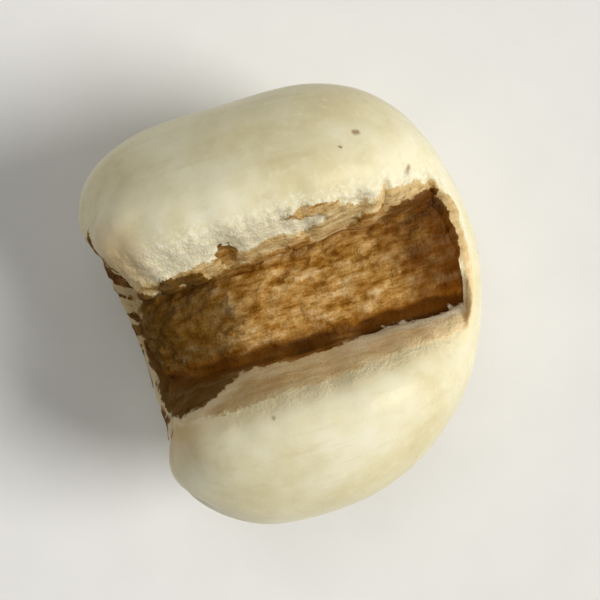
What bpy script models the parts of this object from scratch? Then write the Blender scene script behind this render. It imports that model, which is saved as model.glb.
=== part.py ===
"""A hulled adlay (Job's tears) kernel, lying on its back with its groove up.

Metres, +Z up. The groove runs along Y, with the base and its scar at -Y and the
apex at +Y. The origin is on the flat spot that the kernel rests on, under the
middle of its box.
"""
import math

import bmesh
import bpy
from mathutils import Vector, noise

# Driving dimensions
MM = 0.001
LENGTH = 5.5 * MM  # base to apex, along the groove
WIDTH = 6.2 * MM  # across both lobes
THICKNESS = 5.0 * MM  # flat spot to the top of the lobes
BACK_SHARE = 0.53  # of the thickness, below the widest level
FLAT_SAG = 0.09 * MM  # how much of the round back the flat spot takes off

# Body of the kernel
APEX_POWER = 2.4  # 2 is an ellipsoid, more is blunter
APEX_EASE = 0.35  # at the apex the longer lobe is the blunter one
BASE_POWER = 3.3
BASE_EASE = 1.1  # the base is less blunt seen from the side than from above
GIRTH_POWER = 2.3
APEX_TAPER = 0.03  # the apex is narrower and the base wider, each by this share
POINT_HEIGHT = 0.10 * MM  # the slight point at the apex
POINT_RADIUS = 0.8 * MM
LOBE_SKEW = 0.085  # one lobe is longer than the other, by this share each way
DENT_DEPTH = 0.05 * MM  # shallow dents pressed into the lobes by the hull
DENT_SIZE = 2.2 * MM
DENT_SHIFT = 8.2  # picks the stretch of noise that the dents follow

# Groove, between the lips of the two lobes
GROOVE_WIDTH = 2.44 * MM
GROOVE_FLARE = 0.02  # wider at the base than at the apex, each way from the mean
GROOVE_OFFSET = -0.04 * MM  # the lobes are not the same width
GROOVE_BEND = 0.3  # the offset grows by this share towards the apex
WALL_RUN = 0.50 * MM  # how far a wall leans in, lip to floor
WALL_LEAN = 0.25  # the walls are steeper at the apex than at the base by this share
LIP_DROP = 0.30 * MM  # the lobes round over towards the lips
LIP_REACH = 0.75 * MM
LIP_START = 8.0  # degrees at the apex, where the rounding fades in
LIP_FADE = 30.0
RAGGED = {-1: 0.07 * MM, 1: 0.03 * MM}  # chipped lip and cleaner lip
RAG_SIZE = 0.45 * MM
RAG_SHIFT = 3.7
FLOOR_CROWN = 0.17 * MM  # the floor stands up between the two crevices
FLOOR_BUMP = 0.09 * MM
BUMP_SIZE = 0.5 * MM

# Ends of the groove, as angles about the X axis in degrees: 0 at the apex, 90 up
APEX_RIM = 17.0
APEX_CORNER = 6.0  # how far the end wall bends in at the lips
APEX_WALL = 5.0  # how far the end wall runs
PIT_RIM = 206.0
PIT_ROUND = 18.0
PIT_WALL = 9.0

# Floor of the groove and of the pit at the base: angle, then Y and Z in metres
FLOOR = (
    (15.0, 2.48 * MM, 3.28 * MM),
    (25.0, 2.34 * MM, 3.17 * MM),
    (42.0, 1.70 * MM, 3.25 * MM),
    (68.0, 0.80 * MM, 3.34 * MM),
    (90.0, 0.00 * MM, 3.31 * MM),
    (115.0, -0.90 * MM, 3.31 * MM),
    (135.0, -1.58 * MM, 3.22 * MM),
    (150.0, -1.98 * MM, 3.02 * MM),
    (160.0, -2.12 * MM, 2.84 * MM),
    (168.0, -2.04 * MM, 2.70 * MM),
    (176.0, -1.78 * MM, 2.55 * MM),
    (184.0, -1.66 * MM, 2.34 * MM),
    (192.0, -1.78 * MM, 2.10 * MM),
    (200.0, -2.14 * MM, 1.86 * MM),
    (208.0, -2.45 * MM, 1.62 * MM),
)

# Base end
DISH_DEPTH = 0.34 * MM  # the whole base is slightly concave
DISH_RADIUS = 2.1 * MM
WRINKLES = 11  # short ridges that run out over the rim of the base
WRINKLE_BUNCHING = 2.0  # how unevenly they stand
WRINKLE_HEIGHT = 0.04 * MM
WRINKLE_TURN = 44.0  # degrees from the base's middle, seen from inside
WRINKLE_BAND = 10.0
NUB_ANGLE = 183.0  # the scar's small ring, in the middle of the pit
NUB_RADIUS = 0.48 * MM
NUB_HEIGHT = 0.26 * MM
NUB_HOLE_RADIUS = 0.18 * MM
NUB_HOLE_DEPTH = 0.40 * MM

# Mesh: rows round the X axis as (first angle, last angle, rows), rings along X
ROWS = ((10.0, 34.0, 15), (34.0, 140.0, 36), (140.0, 212.0, 32), (212.0, 370.0, 27))
LOBE_SPANS = 10
WALL_SPANS = 3
FLOOR_SPANS = 10

# Look
COLOUR = (0.62, 0.55, 0.38, 1.0)
ROUGHNESS = 0.5

HALVINGS = 30  # steps of the search for the body's reach
LEVEL = THICKNESS * BACK_SHARE  # height of the widest level


def smooth(value):
    value = min(max(value, 0.0), 1.0)
    return value * value * (3.0 - 2.0 * value)


def bell(distance, reach):
    return math.exp(-((distance / reach) ** 2))


def grain(x, y, z, size, shift=0.0):
    """Smooth noise from -1 to 1, with features of the given size."""
    return noise.noise(Vector((x / size + shift, y / size, z / size)))


def curve(table, at):
    """Y and Z of a smooth curve through a table of (angle, y, z)."""
    last = len(table) - 2
    i = 0
    while i < last and at > table[i + 1][0]:
        i += 1
    before, start, end, after = (table[min(max(k, 0), last + 1)] for k in (i - 1, i, i + 1, i + 2))
    span = end[0] - start[0]
    t = min(max((at - start[0]) / span, 0.0), 1.0)
    out = []
    for k in (1, 2):
        slope_in = (end[k] - before[k]) / (end[0] - before[0]) * span
        slope_out = (after[k] - start[k]) / (after[0] - start[0]) * span
        out.append(
            (2 * t**3 - 3 * t**2 + 1) * start[k]
            + (t**3 - 2 * t**2 + t) * slope_in
            + (3 * t**2 - 2 * t**3) * end[k]
            + (t**3 - t**2) * slope_out
        )
    return out


def groove_middle(angle):
    return GROOVE_OFFSET * (1.0 + GROOVE_BEND * math.cos(math.radians(angle)))


def lip_distance(side, angle):
    """From the middle of the groove to one lip."""
    along = math.cos(math.radians(angle))
    turn = math.sin(math.radians(angle))
    rag = grain(along * LENGTH / 2, turn * LENGTH / 2, side * WIDTH, RAG_SIZE, RAG_SHIFT)
    return GROOVE_WIDTH / 2 * (1.0 - GROOVE_FLARE * along) + RAGGED[side] * rag


def wall_run(angle):
    return WALL_RUN * (1.0 - WALL_LEAN * math.cos(math.radians(angle)))


def ring_radius(across, cos, sin, power):
    """Reach of the unit body from its middle, in one direction of one ring, by halving."""
    low = 0.0
    high = math.sqrt(2.0)
    for _ in range(HALVINGS):
        middle = (low + high) / 2
        girth = (across**GIRTH_POWER + (middle * sin) ** GIRTH_POWER) ** (1.0 / GIRTH_POWER)
        if girth**power + (middle * cos) ** power < 1.0:
            low = middle
        else:
            high = middle
    return low


def body_point(x, angle):
    """The kernel without its groove, at a distance across it and an angle round it."""
    across = min(max(x / (WIDTH / 2), -1.0), 1.0)
    cos = math.cos(math.radians(angle))
    sin = math.sin(math.radians(angle))
    power = BASE_POWER - BASE_EASE * sin * sin if cos < 0.0 else APEX_POWER - APEX_EASE * across
    radius = ring_radius(abs(across), abs(cos), abs(sin), power)
    along = radius * cos
    up = radius * sin
    taper = 1.0 - APEX_TAPER * along
    reach = THICKNESS - LEVEL if up > 0.0 else LEVEL + FLAT_SAG
    x *= taper
    y = along * LENGTH / 2
    z = up * reach * taper
    from_axis = math.hypot(x, z)
    y *= 1.0 - LOBE_SKEW * across
    if cos < 0.0:
        y += DISH_DEPTH * (1.0 - smooth(from_axis / DISH_RADIUS))
    else:
        y += POINT_HEIGHT * bell(from_axis, POINT_RADIUS)
    relief = DENT_DEPTH * grain(x, y, z, DENT_SIZE, DENT_SHIFT) + wrinkle(x, y, z)
    swell = 1.0 + relief / (LENGTH / 2)
    return Vector((x * swell, y * swell, LEVEL + z * swell))


def wrinkle(x, y, z):
    """Ridges that cross the rim of the base, all round it."""
    turn = math.degrees(math.atan2(math.hypot(x, z), -y))
    round_pit = math.atan2(z, x)
    wave = math.cos(WRINKLES * round_pit + WRINKLE_BUNCHING * math.sin(2.0 * round_pit))
    return WRINKLE_HEIGHT * wave * bell(turn - WRINKLE_TURN, WRINKLE_BAND)


def nub(x, angle):
    """The scar's ring with its hole, above the floor of the pit."""
    distance = math.hypot(x, math.radians(angle - NUB_ANGLE) * LENGTH / 2)
    mound = NUB_HEIGHT * bell(distance, NUB_RADIUS)
    return mound - NUB_HOLE_DEPTH * bell(distance, NUB_HOLE_RADIUS)


def lip_rounding(beyond_lip, angle):
    """How far the lobe has sunk towards the groove."""
    nearness = 1.0 - min(max(beyond_lip / LIP_REACH, 0.0), 1.0)
    fade = smooth((angle - LIP_START) / LIP_FADE) * smooth((PIT_RIM - angle) / LIP_FADE)
    return LIP_DROP * nearness * nearness * fade


def groove_share(reach, angle):
    """0 outside the groove's ends, 1 between them; reach is 0 mid-groove, 1 at a lip."""
    reach = min(reach, 1.0)
    start = APEX_RIM + APEX_CORNER * reach**4
    stop = PIT_RIM - PIT_ROUND * (1.0 - math.sqrt(1.0 - reach * reach))
    return smooth((angle - start) / APEX_WALL) * smooth((stop - angle) / PIT_WALL)


def kernel_point(column, angle):
    """A point of the kernel's surface.

    The column's size is 0 to 1 over half the groove's floor, 1 to 2 up a wall, and
    2 to 3 from the lip over a lobe to its side. The angle goes round the X axis.
    """
    side = -1 if column < 0.0 else 1
    zone = abs(column)
    angle = angle % 360.0
    middle = groove_middle(angle)
    lip = lip_distance(side, angle)
    run = wall_run(angle)
    if zone <= 1.0:
        offset = zone * (lip - run)
        depth = 1.0
    elif zone <= 2.0:
        offset = lip - run * (2.0 - zone)
        depth = 2.0 - zone
    else:
        lip_turn = math.asin(lip / (WIDTH / 2))
        offset = WIDTH / 2 * math.sin(lip_turn + (zone - 2.0) * (math.pi / 2 - lip_turn))
        depth = 0.0
    x = side * offset
    x += middle * (1.0 - (x / (WIDTH / 2)) ** 2)
    point = body_point(x, angle)
    inward = Vector((0.0, -point.y, LEVEL - point.z)).normalized()
    point += inward * lip_rounding(offset - lip, angle)
    share = depth * groove_share(offset / lip, angle)
    if share > 0.0:
        floor = Vector((point.x, *curve(FLOOR, angle)))
        outward = (point - floor).normalized()
        edge = max(1.0 - zone * zone, 0.0)
        lift = FLOOR_CROWN * edge + nub(offset, angle)
        lift += FLOOR_BUMP * edge * grain(*floor, BUMP_SIZE)
        point = point.lerp(floor + outward * lift, share)
    return point


def columns():
    """Column values from one side of the kernel to the other, without the two sides."""
    lobe = [3.0 - k / LOBE_SPANS for k in range(1, LOBE_SPANS)]
    wall = [2.0 - k / WALL_SPANS for k in range(WALL_SPANS)]
    floor = [1.0 - 2.0 * k / FLOOR_SPANS for k in range(FLOOR_SPANS // 2)]
    half = lobe + wall + floor
    return [-value for value in half] + [0.0] + half[::-1]


def angles():
    values = []
    for first, last, count in ROWS:
        values += [first + (last - first) * k / count for k in range(count)]
    return values


def fit_to_box(points):
    """Cuts the flat spot and sets the points on it, at the driving dimensions."""
    flat = min(point.z for point in points) + FLAT_SAG
    for point in points:
        point.z = max(point.z, flat)
    low = Vector(min(point[k] for point in points) for k in range(3))
    high = Vector(max(point[k] for point in points) for k in range(3))
    size = (WIDTH, LENGTH, THICKNESS)
    start = (-WIDTH / 2, -LENGTH / 2, 0.0)
    for point in points:
        for k in range(3):
            point[k] = start[k] + (point[k] - low[k]) * size[k] / (high[k] - low[k])


def kernel_mesh():
    """Rings of points round the X axis, closed by one point on each side."""
    rings = columns()
    rows = angles()
    points = [kernel_point(column, angle) for column in rings for angle in rows]
    points += [kernel_point(-3.0, 0.0), kernel_point(3.0, 0.0)]
    fit_to_box(points)

    shape = bmesh.new()
    verts = [shape.verts.new(point) for point in points]
    count = len(rows)
    for i in range(len(rings) - 1):
        for j in range(count):
            here = i * count + j
            beside = i * count + (j + 1) % count
            shape.faces.new((verts[here], verts[beside], verts[beside + count], verts[here + count]))
    last = (len(rings) - 1) * count
    for j in range(count):
        k = (j + 1) % count
        shape.faces.new((verts[-2], verts[k], verts[j]))
        shape.faces.new((verts[-1], verts[last + j], verts[last + k]))
    bmesh.ops.recalc_face_normals(shape, faces=shape.faces)
    mesh = bpy.data.meshes.new("seed")
    shape.to_mesh(mesh)
    shape.free()
    mesh.shade_smooth()
    return mesh


def kernel_material():
    """Milky kernel with a waxy polish; the groove's brown is surface colour."""
    material = bpy.data.materials.new("kernel")
    material.use_nodes = True
    shader = material.node_tree.nodes["Principled BSDF"]
    shader.inputs["Base Color"].default_value = COLOUR
    shader.inputs["Roughness"].default_value = ROUGHNESS
    shader.inputs["Metallic"].default_value = 0.0
    return material


def main():
    for thing in list(bpy.data.objects):
        bpy.data.objects.remove(thing)
    seed = bpy.data.objects.new("seed", kernel_mesh())
    seed.data.materials.append(kernel_material())
    bpy.context.scene.collection.objects.link(seed)


main()
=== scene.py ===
# The looks of a hulled adlay kernel: its surface in full detail, its colours, a
# pale floor, soft light and a camera above the groove. Everything is in metres,
# but the material's numbers are in millimetres. The groove runs along Y, with the
# base at -Y and the apex at +Y, and opens upwards. The lip at -X is the torn one.
import math

import bpy
import numpy as np
from mathutils import Matrix, Vector, noise


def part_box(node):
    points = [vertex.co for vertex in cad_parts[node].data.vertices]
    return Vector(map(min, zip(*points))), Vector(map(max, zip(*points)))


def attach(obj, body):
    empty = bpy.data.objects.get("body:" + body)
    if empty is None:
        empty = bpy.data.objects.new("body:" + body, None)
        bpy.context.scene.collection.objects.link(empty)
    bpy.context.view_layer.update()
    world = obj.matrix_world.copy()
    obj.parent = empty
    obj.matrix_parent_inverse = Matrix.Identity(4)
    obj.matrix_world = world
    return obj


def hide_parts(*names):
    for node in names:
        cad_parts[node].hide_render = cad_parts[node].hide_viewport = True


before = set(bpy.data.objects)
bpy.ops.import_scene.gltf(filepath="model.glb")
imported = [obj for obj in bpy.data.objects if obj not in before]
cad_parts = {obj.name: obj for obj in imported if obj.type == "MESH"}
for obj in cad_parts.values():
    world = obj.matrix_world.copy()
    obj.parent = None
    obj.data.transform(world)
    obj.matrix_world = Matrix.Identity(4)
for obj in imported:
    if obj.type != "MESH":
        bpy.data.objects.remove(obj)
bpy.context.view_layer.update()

MM = 0.001

# The kernel's form, the same as the solid's. Pairs are (clean side, torn side).
LENGTH = 5.5 * MM  # base to apex, along the groove
WIDTH = 6.2 * MM  # across both lobes
THICKNESS = 5.0 * MM
BACK_SHARE = 0.53  # of the thickness, below the widest level
FLAT_SAG = 0.09 * MM  # how much of the round back the flat spot takes off
APEX_POWER = 2.4  # 2 is an ellipsoid, more is blunter
APEX_EASE = 0.35
BASE_POWER = 3.3
BASE_EASE = 1.1
GIRTH_POWER = 2.3
APEX_TAPER = 0.03
POINT_HEIGHT = 0.10 * MM
POINT_RADIUS = 0.8 * MM
LOBE_SKEW = 0.085  # one lobe is longer than the other, by this share each way
DENT_DEPTH = 0.05 * MM
DENT_SIZE = 2.2 * MM
DENT_SHIFT = 8.2
GROOVE_WIDTH = 2.44 * MM
GROOVE_FLARE = 0.02
GROOVE_OFFSET = -0.04 * MM
GROOVE_BEND = 0.3
WALL_RUN = 0.50 * MM  # how far a wall leans in, lip to floor
WALL_LEAN = 0.25
LIP_DROP = 0.30 * MM  # the lobes round over towards the lips
LIP_REACH = 0.75 * MM
LIP_START = 8.0
LIP_FADE = 30.0
RAGGED = (0.03 * MM, 0.07 * MM)
RAG_SIZE = 0.45 * MM
RAG_SHIFT = 3.7
FLOOR_CROWN = 0.17 * MM  # the floor stands up between the two crevices
FLOOR_BUMP = 0.09 * MM
BUMP_SIZE = 0.5 * MM
# Ends of the groove, as angles about the X axis in degrees: 0 at the apex, 90 up
APEX_RIM = 17.0
APEX_CORNER = 6.0
APEX_WALL = 5.0
NEAR_APEX = 300.0  # angles past this one are just before the apex
PIT_RIM = 206.0
PIT_ROUND = 18.0
PIT_WALL = 9.0
# Floor of the groove and of the pit at the base: angle, then Y and Z in millimetres
FLOOR = np.array(
    (
        (15.0, 2.48, 3.28),
        (25.0, 2.34, 3.17),
        (42.0, 1.70, 3.25),
        (68.0, 0.80, 3.34),
        (90.0, 0.00, 3.31),
        (115.0, -0.90, 3.31),
        (135.0, -1.58, 3.22),
        (150.0, -1.98, 3.02),
        (160.0, -2.12, 2.84),
        (168.0, -2.04, 2.70),
        (176.0, -1.78, 2.55),
        (184.0, -1.66, 2.34),
        (192.0, -1.78, 2.10),
        (200.0, -2.14, 1.86),
        (208.0, -2.45, 1.62),
    )
)
DISH_DEPTH = 0.34 * MM
DISH_RADIUS = 2.1 * MM
WRINKLES = 11
WRINKLE_BUNCHING = 2.0
WRINKLE_HEIGHT = 0.04 * MM
WRINKLE_TURN = 44.0  # degrees from the base's middle, seen from inside
WRINKLE_BAND = 10.0
NUB_ANGLE = 183.0
NUB_RADIUS = 0.48 * MM
NUB_HEIGHT = 0.26 * MM
NUB_HOLE_RADIUS = 0.18 * MM
NUB_HOLE_DEPTH = 0.40 * MM
HALVINGS = 26  # steps of the search for the body's reach
LEVEL = THICKNESS * BACK_SHARE  # height of the widest level
NOT_ZERO = 1e-20

# Grid of the surface: rows round the X axis as (first angle, last angle, rows)
ROWS = ((10.0, 34.0, 62), (34.0, 140.0, 150), (140.0, 212.0, 132), (212.0, 370.0, 106))
LOBE_SPANS = 58
LOBE_CROWDING = 1.25  # more rings near the lips
WALL_SPANS = 22
FLOOR_SPANS = 40
POLE_STEP = 0.25  # how far a side's last point stands out, in ring spacings

# What follows is finer than the solid's form. A noise is (size, shift, octaves,
# share of Y, share of Z). A shift picks the stretch of noise, and a share below 1
# draws the noise out along that axis.
FRACTAL_DIMENSION = 0.8
LACUNARITY = 2.0

# Breaks of the lips
FINE_RAG = (0.006 * MM, 0.06 * MM)
FINE_RAG_NOISE = (0.17 * MM, 21.3, 3)
BREAK_NOISE = (0.8 * MM, 44.0)  # where the fine rag is strong
BREAK_MEAN = 0.6
BREAK_SWING = 1.8
BREAK_MOST = 1.6
CHIP_DEPTH = (0.0, 0.26 * MM)
CHIP_NOISE = (0.42 * MM, 5.9)
CHIP_START = 0.22  # chips begin where their noise passes this
MILD_SHARE = 0.85  # how much of the breaks is gone from the lips near the base
MILD_ANGLE = 92.0  # where they begin to go
MILD_SPAN = 35.0
LIP_SOFTENING = 30  # passes that round the lips off
LIP_SOFTNESS = (0.7, 0.12)
SOFT_DEPTH = 0.4
SOFT_ZONE = (1.2, 0.4)  # first zone and span
TORN_SPAN = 0.7 * MM  # across which the torn side turns into the clean one

# Layers on the walls, by how deep in the groove they begin: 0 at the lips, 1 at the foot
TEAR = (0.42 * MM, 8.0, 4, 0.5)
RIP = (0.30 * MM, 19.0, 4, 0.6, 0.8)
TAN_DEPTH = (0.12, 0.14)
TAN_TEAR = (0.06, 0.22)
TAN_LEFT = 0.44  # more white on the torn wall towards the base
LEFT_START = -0.7 * MM
LEFT_SPAN = 1.35 * MM
TAN_LATE = ((0.11, -0.15 * MM, 0.5 * MM), (-0.14, 0.70 * MM, 0.45 * MM))  # change, Y, reach
BROWN_DEPTH = (0.78, 0.84)
BROWN_RIP = (0.10, 0.20)
BROWN_OPEN = 0.14  # the clean wall's strip widens towards the apex
OPEN_START = 0.2 * MM
OPEN_SPAN = 1.2 * MM
BROWN_BASE = 0.5  # and narrows at the base
BASE_START = -0.9 * MM
BASE_SPAN = 1.0 * MM
BROWN_RIGHT = 0.34  # on the torn wall the brown climbs towards the apex
RIGHT_START = 1.1 * MM
RIGHT_SPAN = 0.9 * MM
# Tongues of brown up the torn wall: places along and across the groove, and sizes
TONGUES = (
    (-1.23 * MM, -0.80 * MM, 0.10 * MM),
    (-1.65 * MM, -0.80 * MM, 0.12 * MM),
    (0.35 * MM, -0.86 * MM, 0.14 * MM),
    (1.35 * MM, -0.92 * MM, 0.12 * MM),
)
TONGUE_CLIMB = 0.55
TONGUE_RAG = 0.6
TONGUE_NOISE = (0.13 * MM, 88.0, 3)
# A white flake left on the torn wall under a brown seam
FLAKE_X = -1.06 * MM
FLAKE_Y = 0.52 * MM
FLAKE_LENGTH = 0.27 * MM
FLAKE_HEIGHT = 0.07 * MM
FLAKE_SHARE = 0.9
FLAKE_BEND = 0.05 * MM
FLAKE_NOISE = (0.30 * MM, 29.0, 2)
SEAM_LENGTH = 2.0 * FLAKE_LENGTH
SEAM_OFFSET = 2.0 * FLAKE_HEIGHT
SEAM_HEIGHT = 0.45 * FLAKE_HEIGHT
SEAM_RISE = 0.5
SEAM_START = 0.3
# A flake of brown at the torn lip
NOTCH_X = -0.94 * MM
NOTCH_Y = -0.70 * MM
NOTCH_SIZE = 0.17 * MM
NOTCH_RAG = 0.4
NOTCH_NOISE = (0.15 * MM, 93.0, 3)
NOTCH_ZONE = 2.3  # it stays on the wall and the lip
NOTCH_EDGE = 0.5

# Bran in the folds round the base: a sum of shares that is 0 at an edge of bran
RAY_NOISE = (0.27 * MM, 61.0, 4)
RAY_RADIUS = 2.2 * MM
RAY_LENGTH = 1.7 * MM  # how far the noise runs over a quarter turn
BLOT_NOISE = (0.55 * MM, 67.0, 3)
RAY_SHARE = 0.95
BLOT_SHARE = 0.40
FOLD_SHARE = -0.24
NEAR_SHARE = 0.90  # most bran is at this turn
NEAR_TURN = 24.0
NEAR_BAND = 14.0
BRAN_START = -0.78
FAR_SHARE = -1.5
FAR_TURN = 37.0
FAR_BAND = 22.0
HIGH_SHARE = -0.8
HIGH_Z = 3.0 * MM
HIGH_SPAN = 0.8 * MM
RIDGE_START = 0.2
RIDGE_SPAN = 0.8
RIDGE_BAND = 1.3 * WRINKLE_BAND

# The slit in the apex and the stain round it
SLIT_X = 0.05 * MM
SLIT_Z = 2.45 * MM
SLIT_HALF = 0.62 * MM
SLIT_TAPER = 0.35 * MM
SLIT_WIDTH = 0.065 * MM
SLIT_TIP = 0.35  # share of the width that is left at the tips
SLIT_FADE = 3.0
SLIT_BEND = 0.12 * MM
SLIT_BEND_NOISE = (0.5 * MM, 12.0, 3)
SLIT_RAG = 0.6
SLIT_RAG_NOISE = (0.2 * MM, 23.0, 3)
STAIN_WIDTH = 0.20 * MM
STAIN_RAG = 0.8
STAIN_NOISE = (0.25 * MM, 91.0, 3)

# Pit, sill and crevices
PIT_REACH = 0.9 * MM
HOLE_SHADE_REACH = 0.27 * MM
HOLE_CLEAR = 0.30 * MM  # how far from the hole the floor's relief begins
RING_RADIUS = 0.38 * MM  # a low broken ring round the hole
RING_WIDTH = 0.11 * MM
RING_MEAN = 0.75
RING_SWING = 1.1
RING_MOST = 1.4
RING_NOISE = (0.35 * MM, 71.0, 3)
SILL_ANGLE = 163.0  # the ragged edge between the groove's floor and the pit
SILL_BAND = 9.0
SILL_DEPTH = 0.5
SILL_NOISE = (0.34 * MM, 83.0, 3)
FOOT_ZONE = 0.90  # where the crevices are
FOOT_REACH = 0.13
FOOT_SHADE = 0.25  # their painted shade, over dark bran, reaches this far
FOOT_SHADE_LEAST = 0.4  # share of it that doesn't vary
FOOT_SHADE_TORN = 0.7  # share of it that the torn side is without
UNEVEN_MEAN = 0.7  # how deep the crevices are, from place to place
UNEVEN_SWING = 0.6
UNEVEN_RANGE = (0.15, 1.4)
UNEVEN_NOISE = (0.5 * MM, 55.0, 2)

# Heights of the relief and the noises that it follows
EDGE = 0.10  # how far past its edge a layer reaches its full height
WAVE_RELIEF = 0.010 * MM
WAVE_NOISE = (0.9 * MM, 31.0, 2, 0.6)
LINE_RELIEF = 0.003 * MM
LINE_NOISE = (0.30 * MM, 3.0, 3, 0.5)
BRAN_RELIEF = 0.022 * MM
RIDGE_RELIEF = 0.03 * MM
SLIT_RELIEF = 0.07 * MM
STAIN_RELIEF = 0.02 * MM
TAN_RELIEF = (0.012 * MM, 0.045 * MM)
BROWN_RELIEF = 0.045 * MM
LEDGES = 3.2  # steps of the torn layers, lip to foot
LEDGE_RAG = 1.3
LEDGE_EDGE = 0.15
LEDGE_RELIEF = (0.008 * MM, 0.026 * MM)
LEDGE_NOISE = (0.5 * MM, 6.5, 3, 0.45)
LEDGE_FOOT = 0.3  # no steps this near to the foot
SCRATCH_RELIEF = (0.008 * MM, 0.020 * MM)
SCRATCH_NOISE = (0.16 * MM, 6.5, 3, 0.5)
NOTCH_RELIEF = 0.07 * MM
FIBRE_RELIEF = 0.020 * MM
FIBRE_NOISE = (0.09 * MM, 14.0, 2, 0.15)
LUMP_RELIEF = 0.045 * MM
LUMP_NOISE = (0.26 * MM, 9.0, 4, 0.55)
CRUMB_RELIEF = 0.024 * MM
CRUMB_NOISE = (0.12 * MM, 40.0, 3, 0.5)
CRUMB_START = 0.12
CRUMB_SPAN = 0.18
RING_RELIEF = 0.045 * MM
SILL_RELIEF = 0.10 * MM
FOOT_RELIEF = (0.09 * MM, 0.03 * MM)
LIP_RELIEF = (0.005 * MM, 0.016 * MM)
LIP_NOISE = (0.12 * MM, 77.0, 3)
LIP_DEPTH = 0.25
LIP_ZONE = (1.2, 0.5)
LOBE_START = -0.3  # the depth where the lobes' own relief begins to fade
LOBE_FADE = 0.3
WALL_FADE = 0.15
FLOOR_FADE = 0.14


def smooth(value):
    value = np.clip(value, 0.0, 1.0)
    return value * value * (3.0 - 2.0 * value)


def bell(distance, reach):
    return np.exp(-((distance / reach) ** 2))


def by_side(torn, pair):
    """The clean side's value where torn is 0, the torn side's where it is 1."""
    clean, rough = pair
    return clean + (rough - clean) * torn


def grain(x, y, z, size, shift=0.0, octaves=1, y_share=1.0, z_share=1.0):
    """Smooth noise from about -1 to 1 at each point, with features of the given size."""
    scaled = (x / size + shift, y * y_share / size, z * z_share / size)
    spots = np.stack(np.broadcast_arrays(*scaled), axis=-1)
    flat = spots.reshape(-1, 3).tolist()
    if octaves == 1:
        values = [noise.noise(spot) for spot in flat]
    else:
        values = [noise.fractal(spot, FRACTAL_DIMENSION, LACUNARITY, octaves) for spot in flat]
    return np.array(values).reshape(spots.shape[:-1])


def curve(table, at):
    """Y and Z of a smooth curve through a table of (angle, y, z)."""
    last = len(table) - 2
    i = np.clip(np.searchsorted(table[:, 0], at) - 1, 0, last)
    before = table[np.maximum(i - 1, 0)]
    start = table[i]
    end = table[i + 1]
    after = table[np.minimum(i + 2, last + 1)]
    span = end[..., 0] - start[..., 0]
    t = np.clip((at - start[..., 0]) / span, 0.0, 1.0)
    out = []
    for k in (1, 2):
        slope_in = (end[..., k] - before[..., k]) / (end[..., 0] - before[..., 0]) * span
        slope_out = (after[..., k] - start[..., k]) / (after[..., 0] - start[..., 0]) * span
        out.append(
            (2 * t**3 - 3 * t**2 + 1) * start[..., k]
            + (t**3 - 2 * t**2 + t) * slope_in
            + (3 * t**2 - 2 * t**3) * end[..., k]
            + (t**3 - t**2) * slope_out
        )
    return out


def ring_radius(across, cos, sin, power):
    """Reach of the unit body from its middle, in each direction, by halving."""
    low = np.zeros_like(across)
    high = np.full_like(across, math.sqrt(2.0))
    for _ in range(HALVINGS):
        middle = (low + high) / 2
        girth = (across**GIRTH_POWER + (middle * sin) ** GIRTH_POWER) ** (1.0 / GIRTH_POWER)
        inside = girth**power + (middle * cos) ** power < 1.0
        low = np.where(inside, middle, low)
        high = np.where(inside, high, middle)
    return low


def body_points(x, angle):
    """The kernel without its groove, at distances across it and angles round it."""
    across = np.clip(x / (WIDTH / 2), -1.0, 1.0)
    cos = np.cos(np.radians(angle))
    sin = np.sin(np.radians(angle))
    base_power = BASE_POWER - BASE_EASE * sin * sin
    power = np.where(cos < 0.0, base_power, APEX_POWER - APEX_EASE * across)
    radius = ring_radius(np.abs(across), np.abs(cos), np.abs(sin), power)
    along = radius * cos
    up = radius * sin
    taper = 1.0 - APEX_TAPER * along
    reach = np.where(up > 0.0, THICKNESS - LEVEL, LEVEL + FLAT_SAG)
    x = x * taper
    y = along * LENGTH / 2
    z = up * reach * taper
    from_axis = np.hypot(x, z)
    y = y * (1.0 - LOBE_SKEW * across)
    base_y = y + DISH_DEPTH * (1.0 - smooth(from_axis / DISH_RADIUS))
    y = np.where(cos < 0.0, base_y, y + POINT_HEIGHT * bell(from_axis, POINT_RADIUS))
    turn, _, wave = folds(x, y, z)
    relief = DENT_DEPTH * grain(x, y, z, DENT_SIZE, DENT_SHIFT)
    relief = relief + WRINKLE_HEIGHT * wave * bell(turn - WRINKLE_TURN, WRINKLE_BAND)
    swell = 1.0 + relief / (LENGTH / 2)
    return x * swell, y * swell, LEVEL + z * swell


def folds(x, y, z):
    """Angles from the base's middle and round it, and the wave of the folds there."""
    turn = np.degrees(np.arctan2(np.hypot(x, z), -y))
    round_pit = np.arctan2(z, x)
    wave = np.cos(WRINKLES * round_pit + WRINKLE_BUNCHING * np.sin(2.0 * round_pit))
    return turn, round_pit, wave


def columns():
    """Column values from one side of the kernel to the other, without the two sides."""
    lobe = [3.0 - k / LOBE_SPANS for k in range(1, LOBE_SPANS)]
    wall = [2.0 - k / WALL_SPANS for k in range(WALL_SPANS)]
    floor = [1.0 - 2.0 * k / FLOOR_SPANS for k in range(FLOOR_SPANS // 2)]
    half = lobe + wall + floor
    return np.array([-value for value in half] + [0.0] + half[::-1])


def angles():
    values = []
    for first, last, count in ROWS:
        values += [first + (last - first) * k / count for k in range(count)]
    return np.array(values)


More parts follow.
